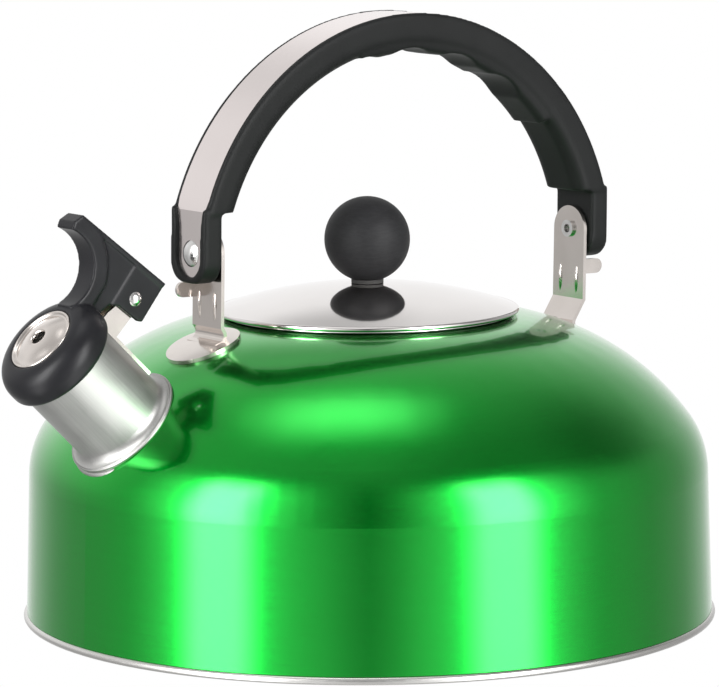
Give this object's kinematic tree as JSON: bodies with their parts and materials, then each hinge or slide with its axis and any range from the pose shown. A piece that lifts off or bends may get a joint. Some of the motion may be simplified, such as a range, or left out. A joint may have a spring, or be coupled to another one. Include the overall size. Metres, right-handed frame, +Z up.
{
  "type": "stovetop whistling kettle",
  "caption": "Round stovetop kettle with a fold-down bail handle, a lift-off lid with a ball knob and a short spout closed by a flip-up whistle.",
  "frame": {"origin": "centre of the base's flat underside, on the kettle's axis", "axes": "+X towards the spout, +Z up"},
  "size_m": [0.2451, 0.222, 0.1929],
  "materials": {
    "green_lacquer": "translucent green lacquer over spun metal",
    "steel": "brushed",
    "bright_steel": "bright pressed sheet",
    "mirror_steel": "mirror polished",
    "black_resin": "satin",
    "black_plastic": "satin",
    "brass": "turned",
    "fibre": "matt"
  },
  "bodies": {
    "kettle": {"body_shell": "green_lacquer", "base_pan": "steel", "spout_tube": "steel", "spout_bracket": "bright_steel", "lever_pin": "bright_steel", "front_bracket": "bright_steel", "rear_bracket": "bright_steel"},
    "handle": {"handle_grip": "black_resin", "handle_strip": "bright_steel", "front_rivet": "bright_steel", "rear_rivet": "bright_steel"},
    "lid": {"lid_cover": "mirror_steel", "lid_skirt": "steel", "lid_knob": "black_resin", "knob_insert": "brass", "knob_washer": "fibre", "knob_screw": "steel", "screw_washer": "steel"},
    "whistle": {"whistle_lever": "black_plastic", "whistle_front_disc": "bright_steel", "whistle_chamber": "steel", "whistle_back_disc": "steel"}
  },
  "joints": [
    {"name": "handle_fold", "type": "hinge", "parent": "kettle", "child": "handle", "pos_m": [-0.01115, 0, 0.1198], "axis": [0.9997, 0, 0.0244], "range_deg": [-85, 85]},
    {"name": "lid_lift", "type": "slide", "parent": "kettle", "child": "lid", "axis": [0, 0, 1], "range_m": [0, 0.04]},
    {"name": "whistle_flip", "type": "hinge", "parent": "kettle", "child": "whistle", "pos_m": [0.09185, 0, 0.10993], "axis": [0, -1, 0], "range_deg": [0, 60]}
  ]
}
